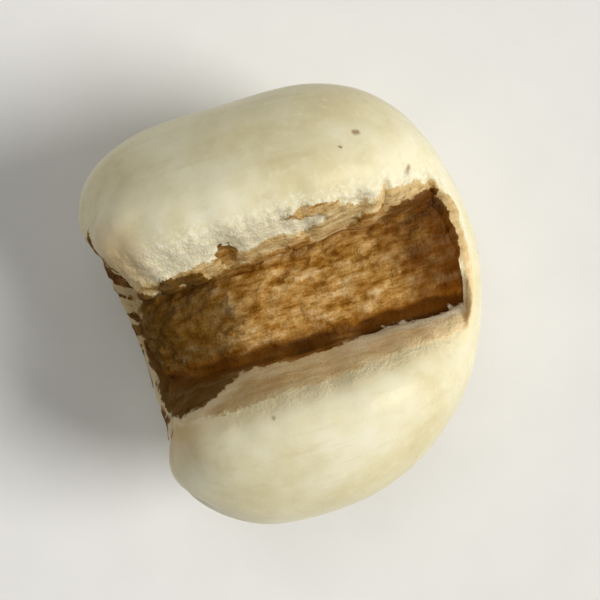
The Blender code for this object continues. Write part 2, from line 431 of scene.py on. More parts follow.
def lip_distances(column, angle):
    """From the groove's middle to a lip, as in the solid and with its fine breaks."""
    along = np.cos(np.radians(angle))
    turn = np.sin(np.radians(angle))
    torn = np.where(column < 0.0, 1.0, 0.0)
    side = 1.0 - 2.0 * torn
    spot = (along * LENGTH / 2, turn * LENGTH / 2, side * WIDTH)
    rag = by_side(torn, RAGGED) * grain(*spot, RAG_SIZE, RAG_SHIFT)
    even = GROOVE_WIDTH / 2 * (1.0 - GROOVE_FLARE * along) + rag
    broken = np.clip(BREAK_MEAN + BREAK_SWING * grain(*spot, *BREAK_NOISE), 0.0, BREAK_MOST)
    fine = by_side(torn, FINE_RAG) * broken * grain(*spot, *FINE_RAG_NOISE)
    chip = by_side(torn, CHIP_DEPTH) * np.maximum(grain(*spot, *CHIP_NOISE) - CHIP_START, 0.0)
    mild = 1.0 - MILD_SHARE * smooth((angle - MILD_ANGLE) / MILD_SPAN)
    up_wall = np.clip(np.abs(column) - 1.0, 0.0, 1.0)
    return even, even + (fine + chip) * mild * up_wall**2


class Surface:
    """The kernel's surface at a grid of columns and angles, and what lies where on it.

    A column's size, its zone, is 0 to 1 over half the groove's floor, 1 to 2 up a
    wall, and 2 to 3 from the lip over a lobe to its side.
    """

    def __init__(self, column, angle):
        column, angle = np.broadcast_arrays(column, angle % 360.0)
        zone = np.abs(column)
        along = np.cos(np.radians(angle))
        even_lip, lip = lip_distances(column, angle)
        run = WALL_RUN * (1.0 - WALL_LEAN * along)

        on_floor = zone <= 1.0
        on_wall = (zone > 1.0) & (zone <= 2.0)
        lobe = np.clip(zone - 2.0, 0.0, 1.0) ** LOBE_CROWDING
        lip_turn = np.arcsin(lip / (WIDTH / 2))
        lobe_offset = WIDTH / 2 * np.sin(lip_turn + lobe * (math.pi / 2 - lip_turn))
        offset = np.where(on_wall, lip - run * (2.0 - zone), lobe_offset)
        offset = np.where(on_floor, zone * (lip - run), offset)
        depth = np.where(on_floor, 1.0, np.where(on_wall, 2.0 - zone, 0.0))
        x = np.where(column < 0.0, -offset, offset)
        middle = GROOVE_OFFSET * (1.0 + GROOVE_BEND * along)
        x = x + middle * (1.0 - (x / (WIDTH / 2)) ** 2)
        x, y, z = body_points(x, angle)

        # The lobes sink towards the lips
        nearness = 1.0 - np.clip((offset - even_lip) / LIP_REACH, 0.0, 1.0)
        fade = smooth((angle - LIP_START) / LIP_FADE) * smooth((PIT_RIM - angle) / LIP_FADE)
        sink = LIP_DROP * nearness * nearness * fade
        reach = np.hypot(y, LEVEL - z) + NOT_ZERO
        y = y - y / reach * sink
        z = z + (LEVEL - z) / reach * sink

        # The groove goes down to its floor, between its ends
        inward = np.minimum(offset / lip, 1.0)
        start = APEX_RIM + APEX_CORNER * inward**4
        stop = PIT_RIM - PIT_ROUND * (1.0 - np.sqrt(1.0 - inward * inward))
        inside = smooth((angle - start) / APEX_WALL) * smooth((stop - angle) / PIT_WALL)
        share = depth * inside
        floor_y, floor_z = (value * MM for value in curve(FLOOR, angle))
        out_y = y - floor_y
        out_z = z - floor_z
        out = np.hypot(out_y, out_z) + NOT_ZERO
        crown = np.maximum(1.0 - zone * zone, 0.0)
        from_nub = np.hypot(offset, np.radians(angle - NUB_ANGLE) * LENGTH / 2)
        lift = FLOOR_CROWN * crown + NUB_HEIGHT * bell(from_nub, NUB_RADIUS)
        lift = lift - NUB_HOLE_DEPTH * bell(from_nub, NUB_HOLE_RADIUS)
        lift = lift + FLOOR_BUMP * crown * grain(x, floor_y, floor_z, BUMP_SIZE)
        y = y + (floor_y + out_y / out * lift - y) * share
        z = z + (floor_z + out_z / out * lift - z) * share

        self.points = np.stack((x, y, z), axis=-1)
        self.zone = zone
        self.inside = inside
        self.from_nub = from_nub
        # How far into the groove: 0 at its lips and ends, 1 at the foot of a wall
        beyond = np.where(zone > 1.0, (lip - offset) / run, 2.0 - zone)
        ends = np.minimum((angle - start) / APEX_WALL, (stop - angle) / PIT_WALL)
        ends = np.where(angle > NEAR_APEX, (angle - 360.0 - start) / APEX_WALL, ends)
        self.depth = np.minimum(beyond, ends)


def normals_of(points):
    """Outward normals of a grid of points, closed along its rows."""
    down = np.roll(points, -1, axis=1) - np.roll(points, 1, axis=1)
    over = np.empty_like(points)
    over[1:-1] = points[2:] - points[:-2]
    over[0] = points[1] - points[0]
    over[-1] = points[-1] - points[-2]
    normal = np.cross(over, down)
    normal /= np.linalg.norm(normal, axis=-1, keepdims=True) + NOT_ZERO
    outward = points - np.array((0.0, 0.0, LEVEL))
    if (normal * outward).sum() < 0.0:
        normal = -normal
    return normal


def round_lips(points, share):
    """Pulls points towards their neighbours across the kernel, most where share is 1."""
    for _ in range(LIP_SOFTENING):
        middle = points.copy()
        middle[1:-1] = (points[:-2] + points[2:]) / 2
        points = points + (middle - points) * share[..., None]
    return points


def layers(depth, torn, x, y, z):
    """How far inside the tan and the brown layers of the walls: 0 at their edges."""
    left = 1.0 - smooth((y - LEFT_START) / LEFT_SPAN)
    late = sum(change * bell(y - place, reach) for change, place, reach in TAN_LATE)
    tan_edge = by_side(torn, TAN_DEPTH) + by_side(torn, TAN_TEAR) * grain(x, y, z, *TEAR)
    tan_edge = tan_edge + torn * (TAN_LEFT * left + late)

    opening = BROWN_OPEN * smooth((y - OPEN_START) / OPEN_SPAN)
    opening = opening - BROWN_BASE * smooth((BASE_START - y) / BASE_SPAN)
    climb = BROWN_RIGHT * smooth((y - RIGHT_START) / RIGHT_SPAN)
    brown_edge = by_side(torn, BROWN_DEPTH) + by_side(torn, BROWN_RIP) * grain(x, y, z, *RIP)
    brown_edge = brown_edge + by_side(torn, (opening, -climb))
    ragged = 1.0 + TONGUE_RAG * grain(x, y, z, *TONGUE_NOISE)
    for spot_y, spot_x, size in TONGUES:
        distance = np.hypot(x - spot_x, y - spot_y) * ragged
        brown_edge = brown_edge - TONGUE_CLIMB * bell(distance, size)

    across = x - FLAKE_X + FLAKE_BEND * grain(x, y, z, *FLAKE_NOISE)
    flake = bell(y - FLAKE_Y, FLAKE_LENGTH) * bell(across, FLAKE_HEIGHT)
    seam = bell(y - FLAKE_Y, SEAM_LENGTH) * bell(across + SEAM_OFFSET, SEAM_HEIGHT)
    tan = depth - tan_edge - FLAKE_SHARE * flake
    brown = np.maximum(depth - brown_edge, SEAM_RISE * seam - SEAM_START)
    return tan, brown


def base_marks(x, y, z):
    """Bran left in the folds round the base (0 at an edge), and the pale ridges between."""
    turn, round_pit, wave = folds(x, y, z - LEVEL)
    ray_x = np.cos(round_pit) * RAY_RADIUS
    ray_z = np.sin(round_pit) * RAY_RADIUS
    ray = grain(ray_x, turn / 90.0 * RAY_LENGTH, ray_z, *RAY_NOISE)
    bran = BRAN_START + RAY_SHARE * ray
    bran = bran + BLOT_SHARE * grain(x, y, z, *BLOT_NOISE)
    bran = bran + FOLD_SHARE * wave
    bran = bran + NEAR_SHARE * bell(turn - NEAR_TURN, NEAR_BAND)
    bran = bran + FAR_SHARE * smooth((turn - FAR_TURN) / FAR_BAND)
    bran = bran + HIGH_SHARE * smooth((z - HIGH_Z) / HIGH_SPAN)
    ridge = smooth((wave - RIDGE_START) / RIDGE_SPAN) * bell(turn - WRINKLE_TURN, RIDGE_BAND)
    return bran, ridge


def slit_marks(x, y, z):
    """The short slit in the apex, and the stain round it."""
    bend = SLIT_BEND * grain(0.0, 0.0, z, *SLIT_BEND_NOISE)
    ragged = 1.0 + SLIT_RAG * grain(0.0, 0.0, z, *SLIT_RAG_NOISE)
    from_slit = np.abs(x - SLIT_X - bend) / ragged
    in_reach = smooth((SLIT_HALF - np.abs(z - SLIT_Z)) / SLIT_TAPER) * (y > 0.0)
    width = SLIT_WIDTH * (SLIT_TIP + (1.0 - SLIT_TIP) * in_reach)
    slit = bell(from_slit, width) * smooth(SLIT_FADE * in_reach)
    return slit, bell(from_slit, STAIN_WIDTH) * in_reach


def notch_mark(zone, x, y, z):
    """The flake of brown at the torn lip."""
    ragged = 1.0 + NOTCH_RAG * grain(x, y, z, *NOTCH_NOISE)
    from_notch = np.hypot(x - NOTCH_X, y - NOTCH_Y) * ragged
    return bell(from_notch, NOTCH_SIZE) * (zone < NOTCH_ZONE) * (z > LEVEL)


def detailed():
    """The surface with its fine relief, and the masks that the colours follow."""
    rings = columns()
    rows = angles()
    surface = Surface(rings[:, None], rows[None, :])
    zone = surface.zone
    depth = surface.depth
    inside = surface.inside
    torn = 1.0 - smooth(surface.points[..., 0] / TORN_SPAN + 0.5)
    near_lip = bell(depth, SOFT_DEPTH) * smooth((zone - SOFT_ZONE[0]) / SOFT_ZONE[1])
    points = round_lips(surface.points, near_lip * by_side(torn, LIP_SOFTNESS))
    x, y, z = points[..., 0], points[..., 1], points[..., 2]
    on_floor = smooth((1.0 - zone) / FLOOR_FADE)
    wall = smooth(depth / WALL_FADE) * (1.0 - on_floor)
    floor = on_floor * inside * (1.0 - bell(surface.from_nub, HOLE_CLEAR))
    tan, brown = layers(depth, torn, x, y, z)
    bran, ridge = base_marks(x, y, z)
    slit, stain = slit_marks(x, y, z)
    notch = notch_mark(zone, x, y, z)

    # Lobes: faint waves, and the bran, the ridges and the slit
    relief = WAVE_RELIEF * grain(x, y, z, *WAVE_NOISE)
    relief += LINE_RELIEF * grain(x, y, z, *LINE_NOISE)
    relief += BRAN_RELIEF * smooth(bran / EDGE) + RIDGE_RELIEF * ridge
    relief += STAIN_RELIEF * stain - SLIT_RELIEF * slit
    relief *= 1.0 - smooth((depth - LOBE_START) / LOBE_FADE)

    # Walls: torn layers, the brown over the tan over the white
    relief += (wall + floor) * by_side(torn, TAN_RELIEF) * smooth(tan / EDGE)
    relief += (wall + floor) * BROWN_RELIEF * torn * smooth(brown / EDGE)
    ledges = LEDGES * depth + LEDGE_RAG * grain(x, y, z, *LEDGE_NOISE)
    ledges = ledges - np.floor(ledges)
    ledges = ledges * smooth((1.0 - ledges) / LEDGE_EDGE)
    upper = wall * (1.0 - bell(zone - 1.0, LEDGE_FOOT))
    relief += upper * by_side(torn, LEDGE_RELIEF) * ledges
    relief += upper * by_side(torn, SCRATCH_RELIEF) * grain(x, y, z, *SCRATCH_NOISE)
    relief -= NOTCH_RELIEF * notch

    # Floor: fibres along it, lumps and crumbs
    crumbs = grain(x, y, z, *CRUMB_NOISE)
    relief += floor * FIBRE_RELIEF * grain(x, y, z, *FIBRE_NOISE)
    relief += floor * LUMP_RELIEF * grain(x, y, z, *LUMP_NOISE)
    relief += floor * CRUMB_RELIEF * smooth((crumbs - CRUMB_START) / CRUMB_SPAN)

    # Pit: a broken ring round its hole, and a ragged sill up to the floor
    patchy = np.clip(RING_MEAN + RING_SWING * grain(x, y, z, *RING_NOISE), 0.0, RING_MOST)
    ring = bell(surface.from_nub - RING_RADIUS, RING_WIDTH) * inside * patchy
    relief += RING_RELIEF * ring
    sill = bell(rows[None, :] - SILL_ANGLE, SILL_BAND) * inside * (depth > SILL_DEPTH)
    relief += SILL_RELIEF * sill * grain(x, y, z, *SILL_NOISE)

    # A crevice at the foot of each wall, with painted shade along it over dark bran, and chalky lips
    uneven = np.clip(UNEVEN_MEAN + UNEVEN_SWING * grain(x, y, z, *UNEVEN_NOISE), *UNEVEN_RANGE)
    relief -= by_side(torn, FOOT_RELIEF) * bell(zone - FOOT_ZONE, FOOT_REACH) * inside * uneven
    # Painted shade along the crevices, over dark bran, weaker on the torn side
    dark_crevice_and_shade = bell(zone - FOOT_ZONE, FOOT_SHADE) * inside * (1.0 - FOOT_SHADE_TORN * torn)
    dark_crevice_and_shade = dark_crevice_and_shade * (FOOT_SHADE_LEAST + (1.0 - FOOT_SHADE_LEAST) * uneven)
    lip = bell(depth, LIP_DEPTH) * smooth((zone - LIP_ZONE[0]) / LIP_ZONE[1])
    relief += lip * by_side(torn, LIP_RELIEF) * grain(x, y, z, *LIP_NOISE)

    masks = {
        "depth": depth,
        "torn": torn,
        "tan": tan,
        "brown": np.maximum(brown, notch - NOTCH_EDGE),
        "dark_crevice_and_shade": dark_crevice_and_shade,
        "crumbs": crumbs * floor,
        "bran": bran,
        "ridge": ridge,
        "slit": slit,
        "stain": stain * (1.0 + STAIN_RAG * grain(x, y, z, *STAIN_NOISE)),
        "pit": bell(surface.from_nub, PIT_REACH) * inside,
        "ring": ring,
        # Painted shade in the pit's hole
        "hole_shade": bell(surface.from_nub, HOLE_SHADE_REACH) * inside,
    }
    return points + normals_of(points) * relief[..., None], masks


def pole(edge, beside):
    """The point that closes one side, a little beyond its last ring."""
    middle = edge.mean(axis=0)
    return middle + (middle - beside.mean(axis=0)) * POLE_STEP


def fit_to_solid(points):
    """Cuts the flat spot, and fills the solid's box."""
    points[:, 2] = np.maximum(points[:, 2], points[:, 2].min() + FLAT_SAG)
    low = points.min(axis=0)
    high = points.max(axis=0)
    box_low, box_high = (np.array(corner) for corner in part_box("seed"))
    return box_low + (points - low) * (box_high - box_low) / (high - low)


def kernel_object():
    """The kernel as rings of points round the X axis, closed by one point on each side."""
    points, masks = detailed()
    rings, count = points.shape[:2]
    poles = (pole(points[0], points[1]), pole(points[-1], points[-2]))
    flat = fit_to_solid(np.vstack((points.reshape(-1, 3), *poles)))

    i, j = np.meshgrid(np.arange(rings - 1), np.arange(count), indexing="ij")
    here = i * count + j
    beside = i * count + (j + 1) % count
    quads = np.stack((here, beside, beside + count, here + count), axis=-1).reshape(-1, 4)
    j = np.arange(count)
    k = (j + 1) % count
    last = (rings - 1) * count
    fan_a = np.stack((np.full(count, len(flat) - 2), k, j), axis=-1)
    fan_b = np.stack((np.full(count, len(flat) - 1), last + j, last + k), axis=-1)

    mesh = bpy.data.meshes.new("kernel")
    mesh.from_pydata(flat.tolist(), [], quads.tolist() + fan_a.tolist() + fan_b.tolist())
    for name, values in masks.items():
        values = values.reshape(-1)
        values = np.append(values, (values[0], values[-1]))
        layer = mesh.attributes.new(name, "FLOAT", "POINT")
        layer.data.foreach_set("value", values.astype(np.float32))
    mesh.shade_smooth()
    mesh.update()
    a, b, c, d = flat[quads].transpose(1, 0, 2)
    if (a * np.cross(c, d - b)).sum() < 0.0:  # the volume inside, if the faces point out
        mesh.flip_normals()
    kernel = bpy.data.objects.new("kernel", mesh)
    bpy.context.scene.collection.objects.link(kernel)
    return kernel


def rgb(red, green, blue):
    """Linear colour from 0-255 screen values, by the sRGB curve."""
    shares = [value / 255.0 for value in (red, green, blue)]
    linear = [
        share / 12.92 if share <= 0.04045 else ((share + 0.055) / 1.055) ** 2.4
        for share in shares
    ]
    return (*linear, 1.0)


def stops(*rows):
    """Stops of a colour ramp, from places and screen values."""
    return [(place, rgb(*screen)) for place, *screen in rows]


# Noises of the material: scale, detail, roughness, share of Y, distortion
CLOUD = (0.55, 3.0, 0.55)
PATCH = (2.2, 4.0, 0.6)
FINE = (7.0, 4.0, 0.6)
TINY = (28.0, 3.0, 0.6)
FIBRE = (8.0, 4.0, 0.62, 0.12)
JAG = (9.0, 4.0, 0.7)
JAG_GAIN = 0.5
BRAN_GRAIN = (5.0, 5.0, 0.7)
POWDER = (14.0, 3.0, 0.7)
TAN_GRAIN = (8.0, 5.0, 0.65, 0.3)
HUSK = (5.5, 6.0, 0.72, 0.42, 0.15)
THREADS = (13.0, 3.0, 0.65, 0.13)
PAPER = (0.8, 4.0, 0.5)

# A ramp is (value where it begins, where it ends, share at each). A ramp named _Y
# follows the place along the kernel, and a _JAG is how ragged an edge is.
# Lobes
STARCH = stops(
    (0.30, 216, 206, 166),
    (0.45, 226, 218, 182),
    (0.60, 233, 227, 196),
    (0.75, 239, 234, 209),
)
STARCH_PATCHES = 0.35
# Darker, yellower starch towards the lobes' outer flanks: partly glassy starch, partly painted shade
OUTER_GLASS_AND_SHADE = rgb(212, 199, 148)
OUTER_SHADE_RAMP = (-1.2, -3.6, 0.0, 0.34)
OUTER_SHADE_CLOUDS = 2.0
LINE = rgb(200, 187, 138)
LINE_RAMP = (0.50, 0.72, 0.0, 0.22)
FLECK = rgb(243, 237, 212)
FLECK_RAMP = (0.52, 0.72, 0.0, 0.28)
STRAY = (6.0, 3.0)
STRAY_REACH = (0.16, 0.16, 0.16)
SPECK = rgb(108, 76, 30)
SPECK_SCALE = 1.25
SPECK_RARITY = 0.62
SPECK_RAMP = (0.07, 0.02, 0.0, 0.7)
# The specks that this kernel has: places and radii
SPOTS = (((-1.98, 1.51, 4.61), 0.09), ((-1.82, 1.23, 4.79), 0.04), ((-1.25, 2.08, 4.28), 0.12))
SPOT = rgb(132, 88, 34)
SPOT_CORE = 0.3  # share of the radius that is fully brown
SPOT_SHARE = 0.75
# Base and slit
RIDGE = rgb(238, 230, 204)
RIDGE_TINT = 0.6
STAIN = rgb(184, 144, 84)
STAIN_RAMP = (0.25, 1.0, 0.0, 0.7)
SLIT = rgb(84, 44, 10)
SLIT_JAG = 0.8
SLIT_RAMP = (0.3, 0.75, 0.0, 0.92)
TINGE = rgb(190, 158, 100)
TINGE_JAG = 0.9
TINGE_RAMP = (-0.16, 0.06, 0.0, 0.6)
RIM = rgb(196, 164, 108)
RIM_RAMP = (-1.3, 0.0)
RIM_Y = (-1.6, -2.2, 0.0, 0.7)
BRAN = stops((0.36, 66, 34, 4), (0.5, 100, 60, 16), (0.66, 158, 110, 48))
BRAN_JAG = 0.8
BRAN_RAMP = (0.0, 0.09)
BRAN_SHARE = 0.97
# Lips
DUST_SHARES = (0.5, 0.7)
DUST_CLEAN = rgb(242, 224, 172)
DUST_TORN = (rgb(233, 223, 186), rgb(248, 243, 220))
DUST_GRAIN = 1.2
DUST_RAMP = (-0.5, 0.1)
POWDER_RAMP = (0.35, 0.65)
# Walls
TAN_TORN = stops(
    (0.32, 150, 112, 58),
    (0.45, 192, 160, 104),
    (0.56, 212, 186, 134),
    (0.68, 228, 212, 170),
)
TAN_CLEAN = stops(
    (0.32, 216, 176, 120),
    (0.45, 232, 202, 148),
    (0.56, 240, 216, 166),
    (0.68, 246, 230, 190),
)
# Painted light: the clean wall's tan turns lighter towards the apex
CLEAN_APEX_LIGHT = rgb(250, 226, 180)
CLEAN_APEX_LIGHT_Y = (-0.5, 1.8, 0.0, 0.35)
# Painted shade: the clean wall's tan turns darker and greyer towards the base
CLEAN_BASE_SHADE = rgb(158, 126, 80)
CLEAN_BASE_SHADE_Y = (0.2, -1.3, 0.0, 0.55)
TORN_APEX = rgb(232, 204, 150)
TORN_APEX_Y = (0.2, 1.8, 0.0, 0.3)
TAN_JAG = 0.6
TAN_RAMP = (0.0, 0.07)
CREST_HIGHLIGHT = rgb(250, 238, 206)  # painted highlight: a pale line along the clean side's brown, stronger towards the apex
CREST_HIGHLIGHT_RAMP = (-0.30, -0.08)
CREST_HIGHLIGHT_SIDE = (0.4, 0.1)
CREST_HIGHLIGHT_Y = (-0.1, 1.1, 0.4, 0.9)
# Lining
LINING = stops(
    (0.28, 104, 60, 10),
    (0.40, 147, 101, 36),
    (0.50, 176, 134, 72),
    (0.60, 199, 161, 104),
    (0.70, 220, 192, 146),
)
THREAD_GAIN = 0.45
CRUMB_GAIN = 0.09
DRIFT = 1.6
# The floor darkens towards both ends: darker bran, deepened with painted shade under the end walls
LINING_APEX_SHADE = rgb(86, 42, 0)
LINING_APEX_SHADE_Y = (1.15, 2.15, 0.0, 0.88)
LINING_BASE_SHADE = rgb(76, 48, 0)
LINING_BASE_SHADE_Y = (-0.3, -1.5, 0.0, 0.82)
# Painted shade along the crevices at the feet of the walls, over dark bran, stronger towards the
# apex
CREVICE_SHADE_JAG = 0.6
CREVICE_SHADE_Y = (-0.5, 1.5, 1.0, 1.35)
CREVICE_BRAN_AND_SHADE = rgb(122, 72, 8)
CREVICE_SHADE_RAMP = (0.05, 0.75, 0.0, 0.8)
CREVICE_CORE_SHADE = rgb(72, 34, 0)
CREVICE_CORE_SHADE_RAMP = (0.5, 1.0, 0.0, 0.8)
BROWN_JAG = 0.5
BROWN_RAMP = (0.0, 0.06)
# Pit
PIT = stops((0.30, 52, 26, 2), (0.46, 86, 48, 10), (0.58, 122, 76, 26), (0.70, 162, 116, 56))
PIT_TINT = 0.9
RING_TINTS = (rgb(120, 80, 36), rgb(206, 168, 110))
RING_JAG = 1.4
RING_RAMP = (0.45, 1.0, 0.0, 0.6)
# Painted shade: near-black in the pit's hole
HOLE_SHADE = rgb(20, 9, 3)
HOLE_SHADE_JAG = 0.8
HOLE_SHADE_RAMP = (0.3, 0.75)
# Finish: dry bran and torn starch are dull, the lobes have a soft sheen
RUGGED_RAMP = (-0.3, 0.15)
SHEEN_RAMP = (0.3, 0.7, 0.27, 0.38)
FINE_BUMP = (0.004, 0.026)  # on the lobes, in the groove
TINY_BUMP = (0.0015, 0.014)
FIBRE_BUMP = 0.004
SCATTER = 0.12
SCATTER_RADIUS = (1.0, 0.75, 0.45)
SCATTER_SCALE = 0.3 * MM
SPECULAR = 0.16
SPECULAR_TINT = (1.0, 0.88, 0.6, 1.0)


class Nodes:
    """Shorthand for building a material's node tree."""

    def __init__(self, name):
        self.material = bpy.data.materials.new(name)
        self.material.use_nodes = True
        self.tree = self.material.node_tree
        self.shader = self.tree.nodes["Principled BSDF"]
        self.place = self.stretch(self.add("ShaderNodeTexCoord").outputs["Object"], 1.0 / MM)

    def add(self, kind, values=None, **settings):
        node = self.tree.nodes.new(kind)
        for key, value in settings.items():
            setattr(node, key, value)
        for key, value in (values or {}).items():
            self.feed(node.inputs[key], value)
        return node

    def feed(self, socket, value):
        if isinstance(value, bpy.types.NodeSocket):
            self.tree.links.new(value, socket)
        else:
            socket.default_value = value

    def math(self, operation, a, b):
        return self.add("ShaderNodeMath", {0: a, 1: b}, operation=operation).outputs[0]

    def swing(self, value, gain):
        """A noise of 0 to 1 turned into one round 0."""
        return self.math("MULTIPLY", self.math("SUBTRACT", value, 0.5), gain)

    def ramp(self, value, low, high, to_low=0.0, to_high=1.0):
        values = dict(enumerate((value, low, high, to_low, to_high)))
        node = self.add("ShaderNodeMapRange", values, interpolation_type="SMOOTHSTEP")
        return node.outputs[0]

    def mix(self, share, a, b):
        values = {0: share, 6: a, 7: b}
        node = self.add("ShaderNodeMix", values, data_type="RGBA", clamp_factor=True)
        return node.outputs[2]

    def blend(self, share, a, b):
        values = {0: share, 2: a, 3: b}
        node = self.add("ShaderNodeMix", values, data_type="FLOAT", clamp_factor=True)
        return node.outputs[0]

    def noise(self, scale, detail, roughness, y_share=1.0, distortion=0.0):
        values = {
            "Vector": self.place if y_share == 1.0 else self.stretch(self.place, 1.0, y_share),
            "Scale": scale,
            "Detail": detail,
            "Roughness": roughness,
            "Distortion": distortion,
        }
        return self.add("ShaderNodeTexNoise", values).outputs[0]

    def mask(self, name):
        return self.add("ShaderNodeAttribute", attribute_name=name).outputs["Fac"]

    def stretch(self, vector, scale, y_share=1.0):
        values = {0: vector, 1: (scale, scale * y_share, scale)}
        return self.add("ShaderNodeVectorMath", values, operation="MULTIPLY").outputs[0]

    def colours(self, value, ramp_stops):
        node = self.add("ShaderNodeValToRGB", {0: value})
        elements = node.color_ramp.elements
        while len(elements) < len(ramp_stops):
            elements.new(0.5)
        for element, (place, colour) in zip(elements, ramp_stops):
            element.position = place
            element.color = colour
        return node.outputs[0]


class Skin(Nodes):
    """The kernel's material, layer over layer."""

    def __init__(self):
        super().__init__("kernel_skin")
        self.y = self.add("ShaderNodeSeparateXYZ", {0: self.place}).outputs[1]
        self.cloud = self.noise(*CLOUD)
        self.patch = self.noise(*PATCH)
        self.fine = self.noise(*FINE)
        self.fibre = self.noise(*FIBRE)
        self.jag = self.swing(self.noise(*JAG), JAG_GAIN)
        self.depth = self.mask("depth")
        self.torn = self.mask("torn")
        self.bran = self.ramp(self.jagged(self.mask("bran"), BRAN_JAG), *BRAN_RAMP)
        self.slit = self.ramp(self.jagged(self.mask("slit"), SLIT_JAG), *SLIT_RAMP)
        self.brown = self.jagged(self.mask("brown"), BROWN_JAG)

        colour = self.base(self.lobes())
        colour = self.lips(colour)
        colour = self.rim(colour)
        colour = self.walls(colour)
        colour = self.groove_and_pit(colour)
        self.feed(self.shader.inputs["Base Color"], colour)
        self.finish()

    def jagged(self, value, gain):
        """A value with ragged noise on it, for an uneven edge."""
        return self.math("ADD", value, self.math("MULTIPLY", self.jag, gain))

    def lobes(self):
        """Chalky and glassy starch with faint lines along the kernel, and bran specks. The starch
        turns darker and yellower towards the outer flanks: partly glassy starch, partly painted
        shade.
        """
        tone = self.math("ADD", self.cloud, self.swing(self.patch, STARCH_PATCHES))
        body = self.colours(tone, STARCH)
        # Partly painted shade: the starch darkens towards the outer flanks, away from the lips
        outer_shade = self.math("ADD", self.depth, self.swing(self.cloud, OUTER_SHADE_CLOUDS))
        body = self.mix(self.ramp(outer_shade, *OUTER_SHADE_RAMP), body, OUTER_GLASS_AND_SHADE)
        body = self.mix(self.ramp(self.fibre, *LINE_RAMP), body, LINE)
        body = self.mix(self.ramp(self.fine, *FLECK_RAMP), body, FLECK)

        values = {"Vector": self.place, "Scale": STRAY[0], "Detail": STRAY[1]}
        wander = self.add("ShaderNodeTexNoise", values).outputs["Color"]
        values = {0: wander, 1: STRAY_REACH, 2: self.place}
        strayed = self.add("ShaderNodeVectorMath", values, operation="MULTIPLY_ADD").outputs[0]
        cells = self.add("ShaderNodeTexVoronoi", {"Vector": strayed, "Scale": SPECK_SCALE})
        chance = self.add("ShaderNodeSeparateColor", {0: cells.outputs["Color"]}).outputs[0]
        rare = self.math("GREATER_THAN", chance, SPECK_RARITY)
        speck = self.math("MULTIPLY", self.ramp(cells.outputs["Distance"], *SPECK_RAMP), rare)
        body = self.mix(speck, body, SPECK)
        for spot, size in SPOTS:
            values = {0: strayed, 1: spot}
            away = self.add("ShaderNodeVectorMath", values, operation="DISTANCE").outputs["Value"]
            body = self.mix(self.ramp(away, size, SPOT_CORE * size, 0.0, SPOT_SHARE), body, SPOT)
        return body

    def base(self, body):
        """Pale ridges round the base, and the slit in the apex with its stain."""
        body = self.mix(self.math("MULTIPLY", self.mask("ridge"), RIDGE_TINT), body, RIDGE)
        stain = self.jagged(self.mask("stain"), 1.0)
        body = self.mix(self.ramp(stain, *STAIN_RAMP), body, STAIN)
        return self.mix(self.slit, body, SLIT)

    def lips(self, body):
        """A dusty white, yellower on the clean side."""
        powder = self.noise(*POWDER)
        dusty = self.math("ADD", self.depth, self.swing(powder, DUST_GRAIN))
        share = self.blend(self.torn, *DUST_SHARES)
        dust = self.math("MULTIPLY", self.ramp(dusty, *DUST_RAMP), share)
        white = self.mix(self.ramp(powder, *POWDER_RAMP), *DUST_TORN)
        white = self.mix(self.torn, DUST_CLEAN, white)
        return self.mix(dust, body, white)

    def rim(self, colour):
        """The stained rim of the pit, and the bran in the folds round it."""
        tinge = self.ramp(self.jagged(self.mask("bran"), TINGE_JAG), *TINGE_RAMP)
        colour = self.mix(tinge, colour, TINGE)
        rim = self.ramp(self.jagged(self.depth, 1.0), *RIM_RAMP)
        rim = self.math("MULTIPLY", rim, self.ramp(self.y, *RIM_Y))
        colour = self.mix(rim, colour, RIM)
        bran = self.colours(self.noise(*BRAN_GRAIN), BRAN)
        return self.mix(self.math("MULTIPLY", self.bran, BRAN_SHARE), colour, bran)

    def walls(self, colour):
        """The tan layer, a little pink on the clean side, with painted light towards the apex and
        painted shade towards the base on that side, and a painted highlight along its crest.
        """
        grainy = self.noise(*TAN_GRAIN)
        clean = self.colours(grainy, TAN_CLEAN)
        # Painted light on the clean wall towards the apex, painted shade towards the base
        clean = self.mix(self.ramp(self.y, *CLEAN_APEX_LIGHT_Y), clean, CLEAN_APEX_LIGHT)
        clean = self.mix(self.ramp(self.y, *CLEAN_BASE_SHADE_Y), clean, CLEAN_BASE_SHADE)
        torn = self.colours(grainy, TAN_TORN)
        torn = self.mix(self.ramp(self.y, *TORN_APEX_Y), torn, TORN_APEX)
        share = self.ramp(self.jagged(self.mask("tan"), TAN_JAG), *TAN_RAMP)
        colour = self.mix(share, colour, self.mix(self.torn, clean, torn))
        # Painted highlight along the edge of the clean side's brown
        crest_highlight = self.math("MULTIPLY", self.ramp(self.torn, *CREST_HIGHLIGHT_SIDE), self.ramp(self.y, *CREST_HIGHLIGHT_Y))
        crest_highlight = self.math("MULTIPLY", self.ramp(self.brown, *CREST_HIGHLIGHT_RAMP), crest_highlight)
        return self.mix(crest_highlight, colour, CREST_HIGHLIGHT)

    def groove_and_pit(self, colour):
        """Brown bran, darker at both ends and along the crevices, darkest in the pit. The ends and
        the crevices are darkened partly with painted shade, and the pit's hole is near-black painted
        shade.
        """
        husk = self.math("ADD", self.noise(*HUSK), self.swing(self.noise(*THREADS), THREAD_GAIN))
        crumbs = self.math("MULTIPLY", self.mask("crumbs"), CRUMB_GAIN)
        husk = self.math("ADD", husk, crumbs)
        lining = self.colours(husk, LINING)
        drifting = self.math("ADD", self.y, self.swing(self.patch, DRIFT))
        # Darker bran towards both ends, partly painted shade
        lining = self.mix(self.ramp(drifting, *LINING_APEX_SHADE_Y), lining, LINING_APEX_SHADE)
        lining = self.mix(self.ramp(drifting, *LINING_BASE_SHADE_Y), lining, LINING_BASE_SHADE)
